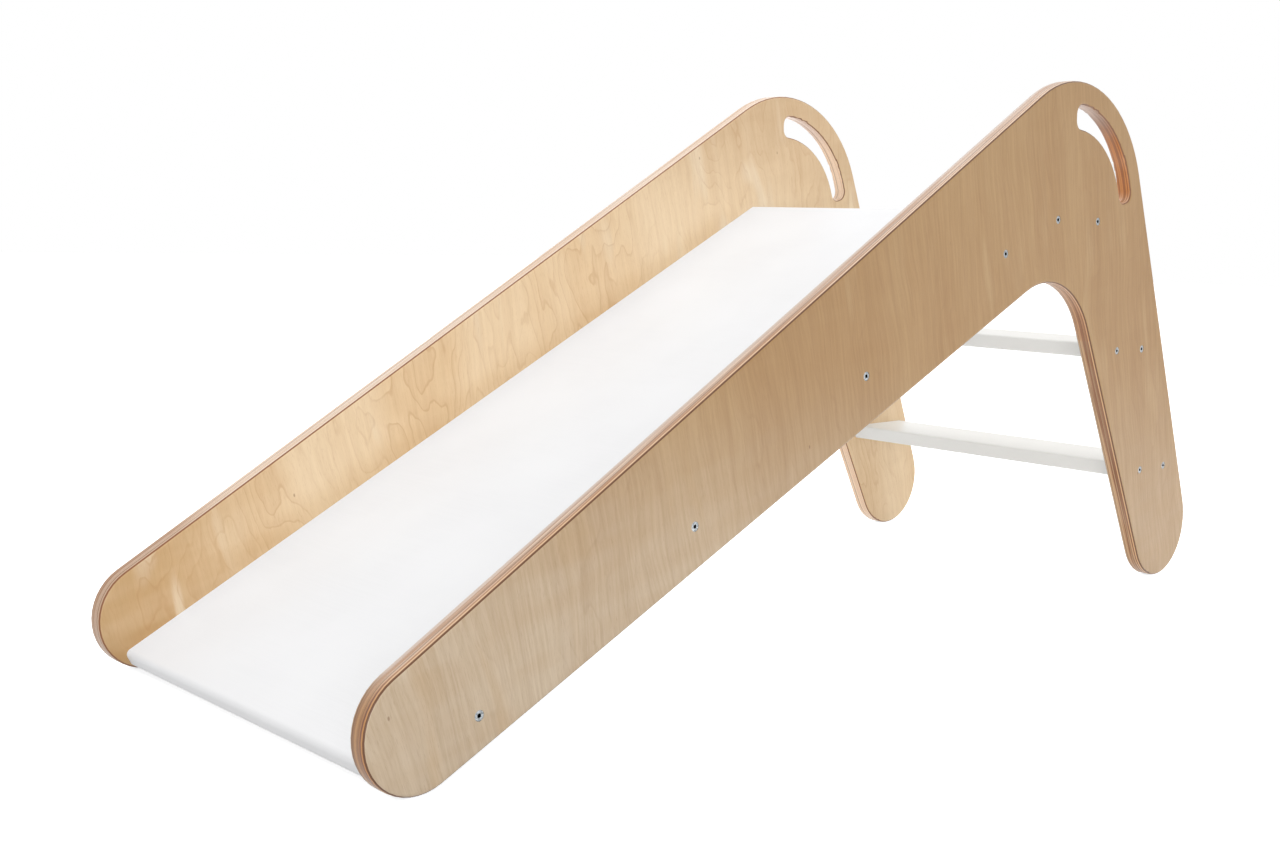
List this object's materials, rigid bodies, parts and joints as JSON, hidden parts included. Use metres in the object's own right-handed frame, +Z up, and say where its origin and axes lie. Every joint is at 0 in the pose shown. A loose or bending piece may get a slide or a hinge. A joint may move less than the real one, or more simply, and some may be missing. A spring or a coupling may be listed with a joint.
{
  "type": "toddler slide",
  "caption": "Low free-standing toddler slide: round-topped plywood side panels with crescent handle slots carry a straight white slide board, a small platform and open steps behind it.",
  "frame": {"origin": "on the floor, under the middle of the slide's length and width", "axes": "+Z up, -X the way a child slides down, +Y to the right panel"},
  "size_m": [1.454, 0.502, 0.68],
  "materials": {
    "birch_plywood": "clear matt lacquer on sanded birch veneer, ply layers open on the rounded edges",
    "white_lacquer": "smooth satin white lacquer on plywood boards",
    "zinc_steel": "bright zinc-plated steel"
  },
  "bodies": {
    "root": {"side_panel_left": "birch_plywood", "side_panel_right": "birch_plywood", "slide_board": "white_lacquer", "platform_board": "white_lacquer", "upper_step": "white_lacquer", "lower_step": "white_lacquer", "slide_screws_left": "zinc_steel", "platform_screws_left": "zinc_steel", "upper_step_screws_left": "zinc_steel", "lower_step_screws_left": "zinc_steel", "slide_screws_right": "zinc_steel", "platform_screws_right": "zinc_steel", "upper_step_screws_right": "zinc_steel", "lower_step_screws_right": "zinc_steel"}
  },
  "joints": []
}
